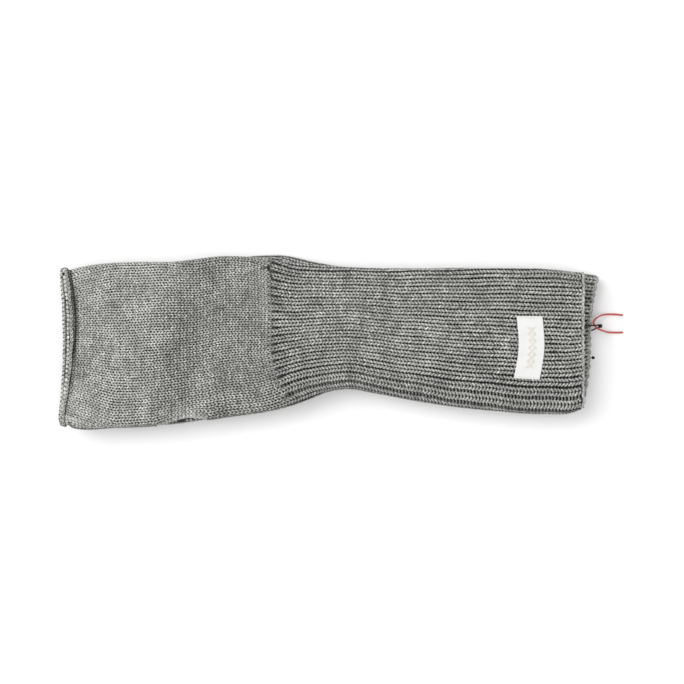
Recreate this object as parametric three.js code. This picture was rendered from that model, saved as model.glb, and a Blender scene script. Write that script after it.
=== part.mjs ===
// A pair of long fingerless knitted gloves, laid flat one on the other, with a sewn label on the upper cuff
// and a safety pin through the lower cuff that holds a tag cord.
// Millimetres. X runs from the finger end (-) to the cuff (+), Y across the hand, Z up from the table.
import * as THREE from "three";

// The knit
const ROOM = 4.8; // clear height inside each glove as it lies
const HAND_WALL = 2.6; // plain knit of the hand
const RIB_WALL = 3.4; // ribbed knit of the forearm and its cast-on edge
const GAP = 0.3; // clearance between neighbouring pieces
const ACROSS = 10; // facets across one layer, fold to fold
const FLAT_SHARE = 0.6; // share of those facets that lie flat

// Lengths along X
const RIB_START = -45; // the hand's plain knit meets the rib here
const EDGE_WIDTH = 2.7; // width of the cuff's cast-on edge
const ROLL_WIDTH = 8.0; // rolled finger edge, across the roll
const ROLL_HEIGHT = 5.2;
const BOW_DEPTH = 2.1; // the finger edge is drawn in at its middle
const BOW_HALF_WIDTH = 55; // half the width that is drawn in
const BOW_REACH = 45; // length of hand that the drawn-in edge pulls on
const SKEW_REACH = 50; // length of cuff over which the cuff's end line turns

// The thumb opening, a slit in the side seam
const SLIT_START = -124;
const SLIT_END = -92;
const SLIT_DEPTH = 0.4; // share of the half width that the edges draw back, which takes them onto the flat

// The side seam
const SEAM_HEIGHT = 1.0;
const SEAM_RIDGE = 0.8; // how far the seam stands into the glove

// The label
const LABEL = { x: 137, y: -4.2, length: 44, width: 18, thick: 0.5, turn: 0.03 };
const STITCH = { length: 16.4, width: 0.5, thick: 0.25, inset: 1.2, lift: 0.05 };

// The safety pin, the knot beside it and the tag cord
const PIN_WIRE = 0.9;
const COIL = { x: 188.9, y: 11.2, z: 10, radius: 1.1, pitch: 1.15 };
const CLASP = { x: 167.3, y: 8.6, z: 5.8, length: 3.4, halfWidth: 3.2, shoulder: 1, wall: 0.5, height: 1.6 };
const KNOT = { x: 184, y: -11.5, z: 9.9, sides: 10 };
const CORD_DIAMETER = 1.2;

// Facets round a wire or cord, round the roll, and along each stretch of glove and wire
const WIRE_SIDES = 8;
const ROLL_SIDES = 10;
const STEPS = { hand: 24, forearm: 14, edge: 1, fingerSeam: 5, forearmSeam: 20, pin: 96, cord: 40 };

const surface = (name, color, roughness, metalness = 0) =>
  new THREE.MeshStandardMaterial({ name, color, roughness, metalness });
const materials = {
  plainKnit: surface("plain_knit", 0x7b7b78, 0.95),
  ribKnit: surface("rib_knit", 0x757572, 0.95),
  edgeKnit: surface("edge_knit", 0x84847f, 0.95),
  seam: surface("seam_yarn", 0x6b6b69, 0.95),
  label: surface("label_satin", 0xe4e4e8, 0.45),
  thread: surface("label_thread", 0xd9d9d6, 0.7),
  pin: surface("pin_black", 0x17171a, 0.35, 0.8),
  knot: surface("knot_thread", 0x141416, 0.8),
  cord: surface("tag_cord", 0xd64a3f, 0.7),
};

/** A smooth function of x through a few hand-placed points. */
function curve(points) {
  const along = points.map((point) => point[0]);
  const values = points.map((point) => point[1]);
  const spline = new THREE.CubicInterpolant(along, values, 1);
  return (x) => spline.evaluate(x)[0];
}

/** 1 at the near end of a stretch, falling to 0 at its far end. */
const fade = (distance, reach) => THREE.MathUtils.clamp(1 - distance / reach, 0, 1);

// Each glove's outline, the level of its middle in the forearm and how much higher the roll holds its finger
// end, the side its seam is on and its two end lines
const upperGlove = {
  name: "upper",
  fingerEnd: -182.1,
  cuffEnd: 176,
  seamSide: -1,
  farEdge: curve([
    [-191, 48.2], [-172, 53.2], [-145, 56], [-112, 56.3], [-74, 60.3], [-52, 59.2], [-34, 56.8],
    [12, 52.6], [60, 51.6], [110, 52.1], [155, 50.8], [176, 48.6],
  ]),
  nearEdge: curve([
    [-191, -55.6], [-180, -60], [-150, -60.2], [-118, -58.6], [-76, -52.3], [-52, -47.8], [-30, -41.2],
    [-8, -34.8], [10, -33], [30, -36], [66, -42.6], [110, -48], [150, -50.5], [166, -50], [176, -46.6],
  ]),
  level: 17.7,
  rise: 3.0,
  cuffSkew: () => 0,
};
const lowerGlove = {
  name: "lower",
  fingerEnd: -173.4,
  cuffEnd: 182,
  seamSide: 1,
  farEdge: curve([
    [-183, 47.5], [-165, 52], [-140, 55], [-112, 55.4], [-74, 58.2], [-50, 60.4], [-34, 60.3],
    [-14, 56], [12, 51.6], [60, 50.6], [110, 51], [155, 49.9], [182, 46],
  ]),
  nearEdge: curve([
    [-183, -52], [-172, -58.4], [-150, -59.2], [-112, -59], [-86, -54.4], [-62, -50.6], [-40, -45.6],
    [-18, -37.4], [8, -31.8], [30, -35], [66, -41.6], [110, -47], [150, -49.4], [170, -48], [182, -42.6],
  ]),
  level: 5.8,
  rise: 1.8,
  cuffSkew: (y) => 0.03 * y + 0.00005 * y ** 3,
};

/** The nominal x of the middle of a glove's rolled edge. */
const rollMiddle = (glove) => glove.fingerEnd - GAP - ROLL_WIDTH / 2;

/** The level of the middle of a glove at x: the forearm lies flat and the hand climbs evenly to the roll. */
function middleLevel(glove, x) {
  const climb = Math.max(0, (RIB_START - x) / (RIB_START - rollMiddle(glove)));
  return glove.level + glove.rise * climb;
}

/** Moves a nominal x with the bowed finger edge and the slanting cuff. */
function alongGlove(glove, x, y) {
  const bow = BOW_DEPTH * (1 - (y / BOW_HALF_WIDTH) ** 2) * fade(x - glove.fingerEnd, BOW_REACH);
  return x + bow + glove.cuffSkew(y) * fade(glove.cuffEnd - x, SKEW_REACH);
}

/** How much of a layer's half width is left on the seam side at x: all, but less along the thumb slit. */
function layerReach(glove, x, share) {
  const along = (x - SLIT_START) / (SLIT_END - SLIT_START);
  const onSeamSide = Math.sign(share) === glove.seamSide;
  if (!onSeamSide || along <= 0 || along >= 1) return 1;
  return 1 - SLIT_DEPTH * Math.sqrt(Math.sin(Math.PI * along));
}

/**
 * A point in a glove's wall. layer is +1 for the upper layer and -1 for the lower one. share runs from -1 at
 * the -Y fold, across the layer, to +1 at the +Y fold. depth is measured inwards from the outer face.
 */
function wallPoint(glove, x, layer, share, depth, wall) {
  const far = glove.farEdge(x);
  const near = glove.nearEdge(x);
  const foldRadius = ROOM / 2 + wall;
  const flatHalf = (far - near) / 2 - foldRadius;
  const radius = foldRadius - depth;
  const size = Math.abs(share);
  const halfGap = Math.sign(share) === glove.seamSide ? SEAM_HEIGHT / 2 + GAP : GAP / 2;
  const turn = Math.max(0, (size - FLAT_SHARE) / (1 - FLAT_SHARE)) * Math.acos(halfGap / radius);
  const across = flatHalf * Math.min(1, size / FLAT_SHARE) + radius * Math.sin(turn);
  const y = (far + near) / 2 + Math.sign(share) * across;
  const z = middleLevel(glove, x) + layer * radius * Math.cos(turn);
  return new THREE.Vector3(alongGlove(glove, x, y), y, z);
}

/** Bends a plain geometry by moving each of its vertices. */
function bend(geometry, move) {
  const position = geometry.attributes.position;
  const point = new THREE.Vector3();
  for (let i = 0; i < position.count; i++) {
    point.fromBufferAttribute(position, i);
    const moved = move(point);
    position.setXYZ(i, moved.x, moved.y, moved.z);
  }
  geometry.computeVertexNormals();
  return geometry;
}

/** One layer of a stretch of glove, as a slab bent round to its two folds. */
function layerGeometry(glove, layer, start, end, wall, steps) {
  const slab = new THREE.BoxGeometry(1, 2, 1, steps, ACROSS, 1);
  return bend(slab, (p) => {
    const x = THREE.MathUtils.lerp(start, end, p.x + 0.5);
    const share = p.y * layerReach(glove, x, p.y);
    const depth = (0.5 - layer * p.z) * wall;
    return wallPoint(glove, x, layer, share, depth, wall);
  });
}

/** The rolled finger edge of one layer: an oval bar that follows the layer from fold to fold. */
function rollGeometry(glove, layer) {
  const bar = new THREE.CylinderGeometry(1, 1, 2, ROLL_SIDES, ACROSS);
  return bend(bar, (p) => {
    const depth = HAND_WALL - ROLL_HEIGHT / 2 - layer * p.z * (ROLL_HEIGHT / 2);
    const point = wallPoint(glove, rollMiddle(glove), layer, p.y, depth, HAND_WALL);
    point.x += p.x * (ROLL_WIDTH / 2);
    return point;
  });
}

/** A stretch of side seam: the linked edges stand a little way into the glove. */
function seamGeometry(glove, start, end, steps) {
  const strip = new THREE.BoxGeometry(1, 1, SEAM_HEIGHT, steps, 1, 1);
  return bend(strip, (p) => {
    const x = THREE.MathUtils.lerp(start, end, p.x + 0.5);
    const edge = glove.seamSide > 0 ? glove.farEdge(x) : glove.nearEdge(x);
    const depth = (0.5 - glove.seamSide * p.y) * (HAND_WALL + SEAM_RIDGE);
    const y = edge - glove.seamSide * depth;
    return new THREE.Vector3(alongGlove(glove, x, y), y, middleLevel(glove, x) + p.z);
  });
}

function mesh(name, geometry, material) {
  const piece = new THREE.Mesh(geometry, material);
  piece.name = name;
  return piece;
}

/** A whole glove: hand, rolled finger edge, ribbed forearm, cuff edge and side seam. */
function gloveGroup(glove) {
  const group = new THREE.Group();
  const cuffStart = glove.cuffEnd - EDGE_WIDTH;
  const zones = [
    ["hand", glove.fingerEnd, RIB_START - GAP, HAND_WALL, STEPS.hand, materials.plainKnit],
    ["forearm", RIB_START, cuffStart - GAP, RIB_WALL, STEPS.forearm, materials.ribKnit],
    ["cuff_edge", cuffStart, glove.cuffEnd, RIB_WALL, STEPS.edge, materials.edgeKnit],
  ];
  const layers = [["top", 1], ["underside", -1]];
  for (const [layerName, layer] of layers) {
    for (const [zone, start, end, wall, steps, material] of zones) {
      const shape = layerGeometry(glove, layer, start, end, wall, steps);
      group.add(mesh(`${glove.name}_${zone}_${layerName}`, shape, material));
    }
    const roll = rollGeometry(glove, layer);
    group.add(mesh(`${glove.name}_rolled_edge_${layerName}`, roll, materials.edgeKnit));
  }
  const fingerSeam = seamGeometry(glove, glove.fingerEnd, SLIT_START - GAP, STEPS.fingerSeam);
  const forearmSeam = seamGeometry(glove, SLIT_END + GAP, cuffStart - GAP, STEPS.forearmSeam);
  group.add(mesh(`${glove.name}_side_seam_finger`, fingerSeam, materials.seam));
  group.add(mesh(`${glove.name}_side_seam_forearm`, forearmSeam, materials.seam));
  return group;
}

/** The woven label and the two rows of stitches that hold its ends. */
function labelGroup() {
  const group = new THREE.Group();
  const clothTop = upperGlove.level + ROOM / 2 + RIB_WALL;
  const base = clothTop + GAP;
  const labelShape = new THREE.BoxGeometry(LABEL.width, LABEL.length, LABEL.thick);
  const label = mesh("label", labelShape, materials.label);
  label.position.z = LABEL.thick / 2;
  group.add(label);
  for (const [end, side] of [["far", 1], ["near", -1]]) {
    const rowShape = new THREE.BoxGeometry(STITCH.length, STITCH.width, STITCH.thick);
    const row = mesh(`label_stitches_${end}`, rowShape, materials.thread);
    const height = LABEL.thick + STITCH.lift + STITCH.thick / 2;
    row.position.set(0, side * (LABEL.length / 2 - STITCH.inset), height);
    group.add(row);
  }
  group.position.set(LABEL.x, LABEL.y, base);
  group.rotation.z = LABEL.turn;
  return group;
}

/** Sweeps a round section along a smooth path. */
function sweptWire(points, diameter, steps) {
  const section = new THREE.Shape();
  for (let i = 0; i < WIRE_SIDES; i++) {
    const angle = (i / WIRE_SIDES) * 2 * Math.PI;
    const x = (diameter / 2) * Math.cos(angle);
    const y = (diameter / 2) * Math.sin(angle);
    if (i === 0) section.moveTo(x, y);
    else section.lineTo(x, y);
  }
  section.closePath();
  const path = new THREE.CatmullRomCurve3(points, false, "centripetal");
  return new THREE.ExtrudeGeometry(section, { steps, extrudePath: path, bevelEnabled: false });
}

/**
 * The safety pin: one length of wire. The outer leg lies on the cuff, the coil stands clear of its edge, and
 * the inner leg runs into the cuff's mouth, turns in the clasp and comes back as the point.
 */
function pinGeometry() {
  const at = (x, y, z) => new THREE.Vector3(x, y, z);
  const points = [at(177.9, 10.9, 12.4), at(181.5, 11.1, 12.4), at(185.6, 11.4, 12)];
  const quarterTurns = 6;
  for (let i = 0; i <= quarterTurns; i++) {
    const angle = Math.PI / 2 - (i * Math.PI) / 2;
    const y = COIL.y + COIL.pitch / 2 - (COIL.pitch * i) / 4;
    points.push(at(COIL.x + COIL.radius * Math.cos(angle), y, COIL.z + COIL.radius * Math.sin(angle)));
  }
  points.push(at(186.2, 9.2, 7.7), at(182.6, 7.6, 6.3), at(176, 6.9, 5.8), at(168.5, 6.8, 5.8));
  points.push(at(166.4, 7.4, 5.8), at(165.6, 8.6, 5.8), at(166.4, 9.8, 5.8));
  points.push(at(168.5, 10.4, 5.8), at(172.5, 10.7, 6.2), at(176, 10.8, 7.3));
  return sweptWire(points, PIN_WIRE, STEPS.pin);
}

/** The clasp: a folded cap that shields the point, open towards the coil. */
function claspGeometry() {
  const { length, halfWidth, shoulder, wall, height } = CLASP;
  const cap = new THREE.Shape();
  cap.moveTo(0, -halfWidth);
  cap.lineTo(shoulder - length, -halfWidth);
  cap.quadraticCurveTo(-length, 0, shoulder - length, halfWidth);
  cap.lineTo(0, halfWidth);
  cap.lineTo(0, halfWidth - wall);
  cap.lineTo(shoulder - length + wall, halfWidth - wall);
  cap.quadraticCurveTo(wall - length, 0, shoulder - length + wall, wall - halfWidth);
  cap.lineTo(0, wall - halfWidth);
  cap.closePath();
  const shape = new THREE.ExtrudeGeometry(cap, { depth: height, bevelEnabled: false, curveSegments: 6 });
  shape.translate(CLASP.x, CLASP.y, CLASP.z - height / 2);
  return shape;
}

/** A knot in the end of a black thread that comes out of the cuff's edge. */
function knotGeometry() {
  const profile = [ // radius, place along the thread
    [0, -1.6], [0.35, -1.6], [0.35, -0.9], [0.85, -0.5], [1.1, 0.1], [0.8, 0.8], [0.3, 1.1], [0, 1.15],
  ];
  const knot = new THREE.LatheGeometry(profile.map(([r, h]) => new THREE.Vector2(r, h)), KNOT.sides);
  knot.rotateZ(-Math.PI / 2);
  knot.translate(KNOT.x, KNOT.y, KNOT.z);
  return knot;
}

/** The tag cord: threaded between the pin's legs, both arms lying on the table. */
function cordGeometry() {
  const route = [
    [206.4, 18.7, 0.7], [201.5, 19.2, 0.7], [196.5, 19.3, 1], [192, 18.9, 3.4], [188, 17.4, 7],
    [185.3, 15.4, 9.2], [184.2, 13.3, 9.8], [185.2, 11.2, 9.8], [187, 9.3, 10.3], [189.7, 8.1, 9.6],
    [192.3, 7.3, 6.9], [194.6, 6.8, 3.6], [197.4, 6.5, 1.1], [202, 6.4, 0.7], [206.4, 6.5, 0.7],
  ];
  const points = route.map(([x, y, z]) => new THREE.Vector3(x, y, z));
  return sweptWire(points, CORD_DIAMETER, STEPS.cord);
}

const group = new THREE.Group();
group.name = "knitted_gloves";
group.add(gloveGroup(lowerGlove), gloveGroup(upperGlove), labelGroup());
group.add(mesh("safety_pin", pinGeometry(), materials.pin));
group.add(mesh("safety_pin_clasp", claspGeometry(), materials.pin));
group.add(mesh("thread_knot", knotGeometry(), materials.knot));
group.add(mesh("tag_cord", cordGeometry(), materials.cord));

export default group;
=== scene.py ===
import math

import bpy
import numpy as np
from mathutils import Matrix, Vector


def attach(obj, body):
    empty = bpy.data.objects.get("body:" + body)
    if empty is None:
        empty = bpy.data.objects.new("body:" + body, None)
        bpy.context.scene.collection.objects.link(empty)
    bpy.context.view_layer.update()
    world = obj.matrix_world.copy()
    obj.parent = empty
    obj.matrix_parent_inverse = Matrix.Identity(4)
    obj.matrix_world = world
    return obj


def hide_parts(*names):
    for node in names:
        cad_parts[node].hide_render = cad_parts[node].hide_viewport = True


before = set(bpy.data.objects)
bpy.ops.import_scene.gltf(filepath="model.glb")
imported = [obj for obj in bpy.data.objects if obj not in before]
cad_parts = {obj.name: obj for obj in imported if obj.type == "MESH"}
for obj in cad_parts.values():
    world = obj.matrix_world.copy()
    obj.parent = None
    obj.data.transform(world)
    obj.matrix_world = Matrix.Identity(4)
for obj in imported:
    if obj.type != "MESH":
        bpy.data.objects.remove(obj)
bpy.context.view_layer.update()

# A pair of long fingerless knitted gloves, knitted here yarn by yarn. Lengths in this file are in
# millimetres, in the CAD's frame, and become metres when a mesh is made. X runs from the finger edges to
# the cuffs. Each glove lies flat: a top layer and an underside, between a fold at -Y and one at +Y.
MM = 0.001
TAU = 2 * math.pi
scene = bpy.context.scene
scene.view_settings.view_transform = "Standard"

# ---- camera: straight above, as in the photo ----
VIEW_CENTRE = (7.0, -0.35)
VIEW_LEVEL = 18.0  # height of the gloves' outline
VIEW_WIDTH = 478.8  # what the frame shows at that level
VIEW_HEIGHT = 1200.0
SENSOR_WIDTH = 36.0

camera_data = bpy.data.cameras.new("camera")
camera_data.sensor_width = SENSOR_WIDTH
camera_data.lens = SENSOR_WIDTH * VIEW_HEIGHT / VIEW_WIDTH
camera_data.clip_start = 0.05
camera_data.clip_end = 20
camera = bpy.data.objects.new("camera", camera_data)
camera.location = (VIEW_CENTRE[0] * MM, VIEW_CENTRE[1] * MM, (VIEW_LEVEL + VIEW_HEIGHT) * MM)
scene.collection.objects.link(camera)
scene.camera = camera

# ---- small helpers ----
SMALLEST = 1e-9  # keeps a length from being nought
NOISE_COUNT = 4096
YARN_SHIFT = 37.3  # mm along the yarn from one row's pattern to the next row's


def smooth_curve(points):
    """A smooth function through a few given points."""
    xs, ys = np.array(points, float).T
    gap = np.diff(xs)
    slope = np.diff(ys) / gap
    inner = (slope[1:] * gap[:-1] + slope[:-1] * gap[1:]) / (gap[1:] + gap[:-1])
    tangent = np.concatenate([slope[:1], inner, slope[-1:]])

    def value(x):
        x = np.clip(x, xs[0], xs[-1])
        i = np.clip(np.searchsorted(xs, x) - 1, 0, len(xs) - 2)
        t = (x - xs[i]) / gap[i]
        a, b = (1 + 2 * t) * (1 - t) ** 2, t * (1 - t) ** 2
        c, d = t * t * (3 - 2 * t), t * t * (t - 1)
        return a * ys[i] + b * gap[i] * tangent[i] + c * ys[i + 1] + d * gap[i] * tangent[i + 1]

    return value


def blend(x, low, high):
    """0 up to low, 1 from high on, and smooth between."""
    t = np.clip((x - low) / (high - low), 0, 1)
    return t * t * (3 - 2 * t)


def fall(x, low, high):
    """1 up to low, 0 from high on, and smooth between."""
    return blend(-x, -high, -low)


def fade(distance, length):
    """1 at the start of a stretch, and straight down to 0 at its end."""
    return np.clip(1 - distance / length, 0, 1)


def hump(x, middle, width):
    """A smooth hump of height 1."""
    return np.exp(-((x - middle) / width) ** 2)


def unit(v):
    return v / np.maximum(np.linalg.norm(v, axis=-1, keepdims=True), SMALLEST)


def run_along(points):
    """The length of a line up to each of its points."""
    steps = np.linalg.norm(np.diff(points, axis=-2), axis=-1)
    return np.concatenate([np.zeros((*steps.shape[:-1], 1)), np.cumsum(steps, axis=-1)], axis=-1)


def wander(place, seed):
    """Smooth noise between -1 and 1, one wave for each unit of place."""
    table = np.random.default_rng(seed).uniform(-1, 1, NOISE_COUNT)
    i = np.floor(place).astype(int)
    t = blend(place - i, 0, 1)
    return table[i % NOISE_COUNT] * (1 - t) + table[(i + 1) % NOISE_COUNT] * t


def spline_weights(f):
    """Catmull-Rom weights of four points, for a place that is f of the way between the middle two."""
    return (-0.5 * f + f ** 2 - 0.5 * f ** 3, 1 - 2.5 * f ** 2 + 1.5 * f ** 3,
            0.5 * f + 2 * f ** 2 - 1.5 * f ** 3, -0.5 * f ** 2 + 0.5 * f ** 3)


def through(points, count):
    """A smooth line of count points through a few 3-D points."""
    p = np.array(points, float)
    spans = len(p) - 1
    p = np.vstack([2 * p[0] - p[1], p, 2 * p[-1] - p[-2]])
    t = np.linspace(0, spans, count)
    i = np.minimum(t.astype(int), spans - 1)
    weights = spline_weights((t - i)[:, None])
    return sum(weights[k] * p[i + k] for k in range(4))


def add_object(name, mesh, body, look):
    obj = bpy.data.objects.new(name, mesh)
    scene.collection.objects.link(obj)
    mesh.materials.append(look)
    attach(obj, body)
    return obj


def build_mesh(name, verts, loops, sizes, uv=None, depth=None):
    mesh = bpy.data.meshes.new(name)
    begin = np.concatenate([[0], np.cumsum(sizes)[:-1]]).astype(np.int32)
    mesh.vertices.add(len(verts))
    mesh.vertices.foreach_set("co", (np.asarray(verts) * MM).ravel())
    mesh.loops.add(len(loops))
    mesh.loops.foreach_set("vertex_index", np.asarray(loops, np.int32))
    mesh.polygons.add(len(sizes))
    mesh.polygons.foreach_set("loop_start", begin)
    mesh.update(calc_edges=True)
    mesh.polygons.foreach_set("use_smooth", np.ones(len(sizes), bool))
    if uv is not None:
        mesh.uv_layers.new(name="yarn").data.foreach_set("uv", uv.astype(np.float32).ravel())
    if depth is not None:
        values = mesh.attributes.new("depth", "FLOAT", "POINT").data
        values.foreach_set("value", depth.astype(np.float32).ravel())
    return mesh


def tubes(name, centres, normals, radius, sides, depth=None, face=1, oval=(1, 1)):
    """Closed tubes along rows of points. centres and normals are rows x points x 3, and radius is
    rows x points, times oval across and up. depth is how high each centre lies against the loops'
    fronts, painted as shade into the wool's colour, and face is 1 where the painted light falls on the
    yarn's outer side, -1 where it falls on its inner side, and 0 where both sides are painted alike."""
    rows, count, _ = centres.shape
    along = np.gradient(centres, axis=1)
    across = unit(np.cross(along, normals))
    up = unit(np.cross(across, along))
    angle = np.arange(sides) / sides * TAU
    radius = np.broadcast_to(radius, (rows, count))
    section = (oval[0] * np.cos(angle)[:, None] * across[:, :, None]
               + oval[1] * np.sin(angle)[:, None] * up[:, :, None])
    ring = centres[:, :, None] + radius[:, :, None, None] * section
    j = np.arange(sides)[None, None, :]
    k = (j + 1) % sides
    base = (np.arange(rows)[:, None, None] * count + np.arange(count - 1)[None, :, None]) * sides
    quads = np.stack([base + j, base + sides + j, base + sides + k, base + k], -1).ravel()
    starts = np.arange(rows)[:, None] * count * sides
    first = starts + np.arange(sides)
    last = starts + (count - 1) * sides + np.arange(sides)[::-1]
    loops = np.concatenate([quads, first.ravel(), last.ravel()])
    sizes = np.concatenate([np.full(len(quads) // 4, 4), np.full(2 * rows, sides)])
    # yarn coordinates: mm along the yarn, and once round it
    run = run_along(centres) + np.arange(rows)[:, None] * YARN_SHIFT
    u_low, u_high = run[:, :-1, None] + 0 * j, run[:, 1:, None] + 0 * j
    v_low, v_high = (j + 0 * u_low) / sides, (j + 1 + 0 * u_low) / sides
    uv = np.stack([u_low, v_low, u_high, v_low, u_high, v_high, u_low, v_high], -1).reshape(-1, 2)
    uv = np.concatenate([uv, np.zeros((2 * rows * sides, 2))])
    if depth is not None:
        depth = depth[:, :, None] + face * radius[:, :, None] * np.sin(angle)
    return build_mesh(name, ring.reshape(-1, 3), loops, sizes, uv, depth)


# ---- the gloves' shape ----
STITCHES = 34  # across one layer
ROOM = 4.8  # clear height inside a glove
HAND_WALL = 2.6
RIB_WALL = 3.4
RIB_START = -45.0
WALL_CHANGE = (RIB_START - 6, RIB_START + 6)
WRIST = (RIB_START - 15, RIB_START + 23)  # where the hand's wales spread into the rib
FOREARM = 190.0  # length from there almost to the cuff
BLUNT = 0.7  # how bluntly the relief ends at the folds, and the slit at its ends

# The rolled edge is the hand's cloth, curled over an oval.
ROLL_ACROSS = 2.8  # half sizes of the roll's middle line
ROLL_UP = 1.8
ROLL_TURN = 1.30 * math.pi
ROLL_LEAD = 4.3  # from the hand's finger end to the start of the curl
ROLL_STEPS = 200
UNDER_ROLL = 0.6  # the size of the roll on the undersides
ROLL_THIN = 0.4  # how much flatter the loops are on a small roll
ROLL_TUCK = 2.6  # a small roll sits further out
ROLL_TUCK_FADE = 30.0
roll_angle = np.linspace(0, ROLL_TURN, ROLL_STEPS)
roll_step = np.hypot(ROLL_ACROSS * np.cos(roll_angle[1:]), ROLL_UP * np.sin(roll_angle[1:])) * roll_angle[1]
roll_run = np.concatenate([[0], np.cumsum(roll_step)])  # mm of cloth up to each angle

# The finger edge curves inwards between its ends; it and the cuff's slant fade out within the glove.
BOW, BOW_MIDDLE, BOW_HALF = 3.5, 2.0, 54.0
END_FADE = 50.0

# The thumb opening: a slit in the side seam, as a share of a layer's width.
SLIT = (-124.0, -90.0)
SLIT_WIDTH = 0.042
SLIT_LEAN = 1.35  # its widest place is nearer to the wrist
SLIT_HOLD = 12  # how soon the stitches beside it lie still

# Stitches that turn over a fold, by stretches of the glove: at the -Y fold, at the +Y fold.
FINGERS = (-4.0, 32.0)  # from the finger end
HAND_START = (-172.0, -150.0)
HAND_END = (-120.0, -90.0)
TURN_FINGERS = 2.6
TURN_HAND = 0.9
TURN_WRIST = (0.2, 2.7)
TURN_CUFF = (1.6, 2.1)
CUFF_EASE = 0.7

# The top layers' stitches are spread open beside the -Y fold, and the courses lean to the cuff there.
SPREAD_RIB = (0.060, 0.015)  # at the wrist, and what the cuff adds
SPREAD_FROM = 0.12
SPREAD_EASE = 1.4
SPREAD_HAND = 0.02
LEAN, LEAN_SHARE, LEAN_LENGTH = 13.0, 0.42, 42.0  # mm, share of the width, mm on each side

# Relief of the layer that lies on top. Ridges across it: height, place at y = 0, slant, half width.
HILLS = [(3.4, -122.0, 0.10, 22.0), (-2.2, -86.0, 0.12, 16.0)]
RIB_DIP = (-0.25, RIB_START - 2.2, 0.0, 2.6)
# Waves in it: height, and mm for each radian along X and along Y.
HAND_WAVE, HAND_WAVE_BEND = (0.35, 11.0, 17.0), 0.8
RIB_WAVE = (0.35, 50.0, 10.0)
LONG_WAVE = (0.3, 14.0, 25.0)
HAND_WAVE_END = (RIB_START - 20, RIB_START)
RIB_WAVE_START = (RIB_START, 10.0)
RELIEF_START = (4.0, 22.0)  # from the finger end
# Creases in it: ends, depth.
CREASES = [
    ((-49.0, 51.3), (-44.1, 51.5), 0.9), ((-44.1, 51.5), (-41.0, 55.9), 0.8),
    ((-44.1, 51.5), (-42.2, 45.4), 0.9), ((-42.2, 45.4), (-42.6, 30.0), 0.2),
    ((-183.0, -56.0), (-182.0, -58.5), 1.6),
]
CREASE_SPREAD = 0.9  # square mm
# Painted shade and light of it, in mm of the yarn's depth: a darker valley across the hand, then darker and
# lighter steps with their stretches.
VALLEY_SHADE = (-0.25, -103.0, 0.12, 17.0)
SHADE_STEPS = [(-0.19, -96, -74), (-0.04, RIB_START - 3, RIB_START + 6), (0.06, -10, 60)]


def to_cuff(x):
    """0 on the hand and up to 1 at the cuff."""
    return np.clip((x - WRIST[1]) / FOREARM, 0, 1)


def ridge(x, y, height, place, slant, width):
    """A ridge across the glove, or a valley if its height is negative."""
    return height * hump(x - slant * y, place, width)


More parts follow.
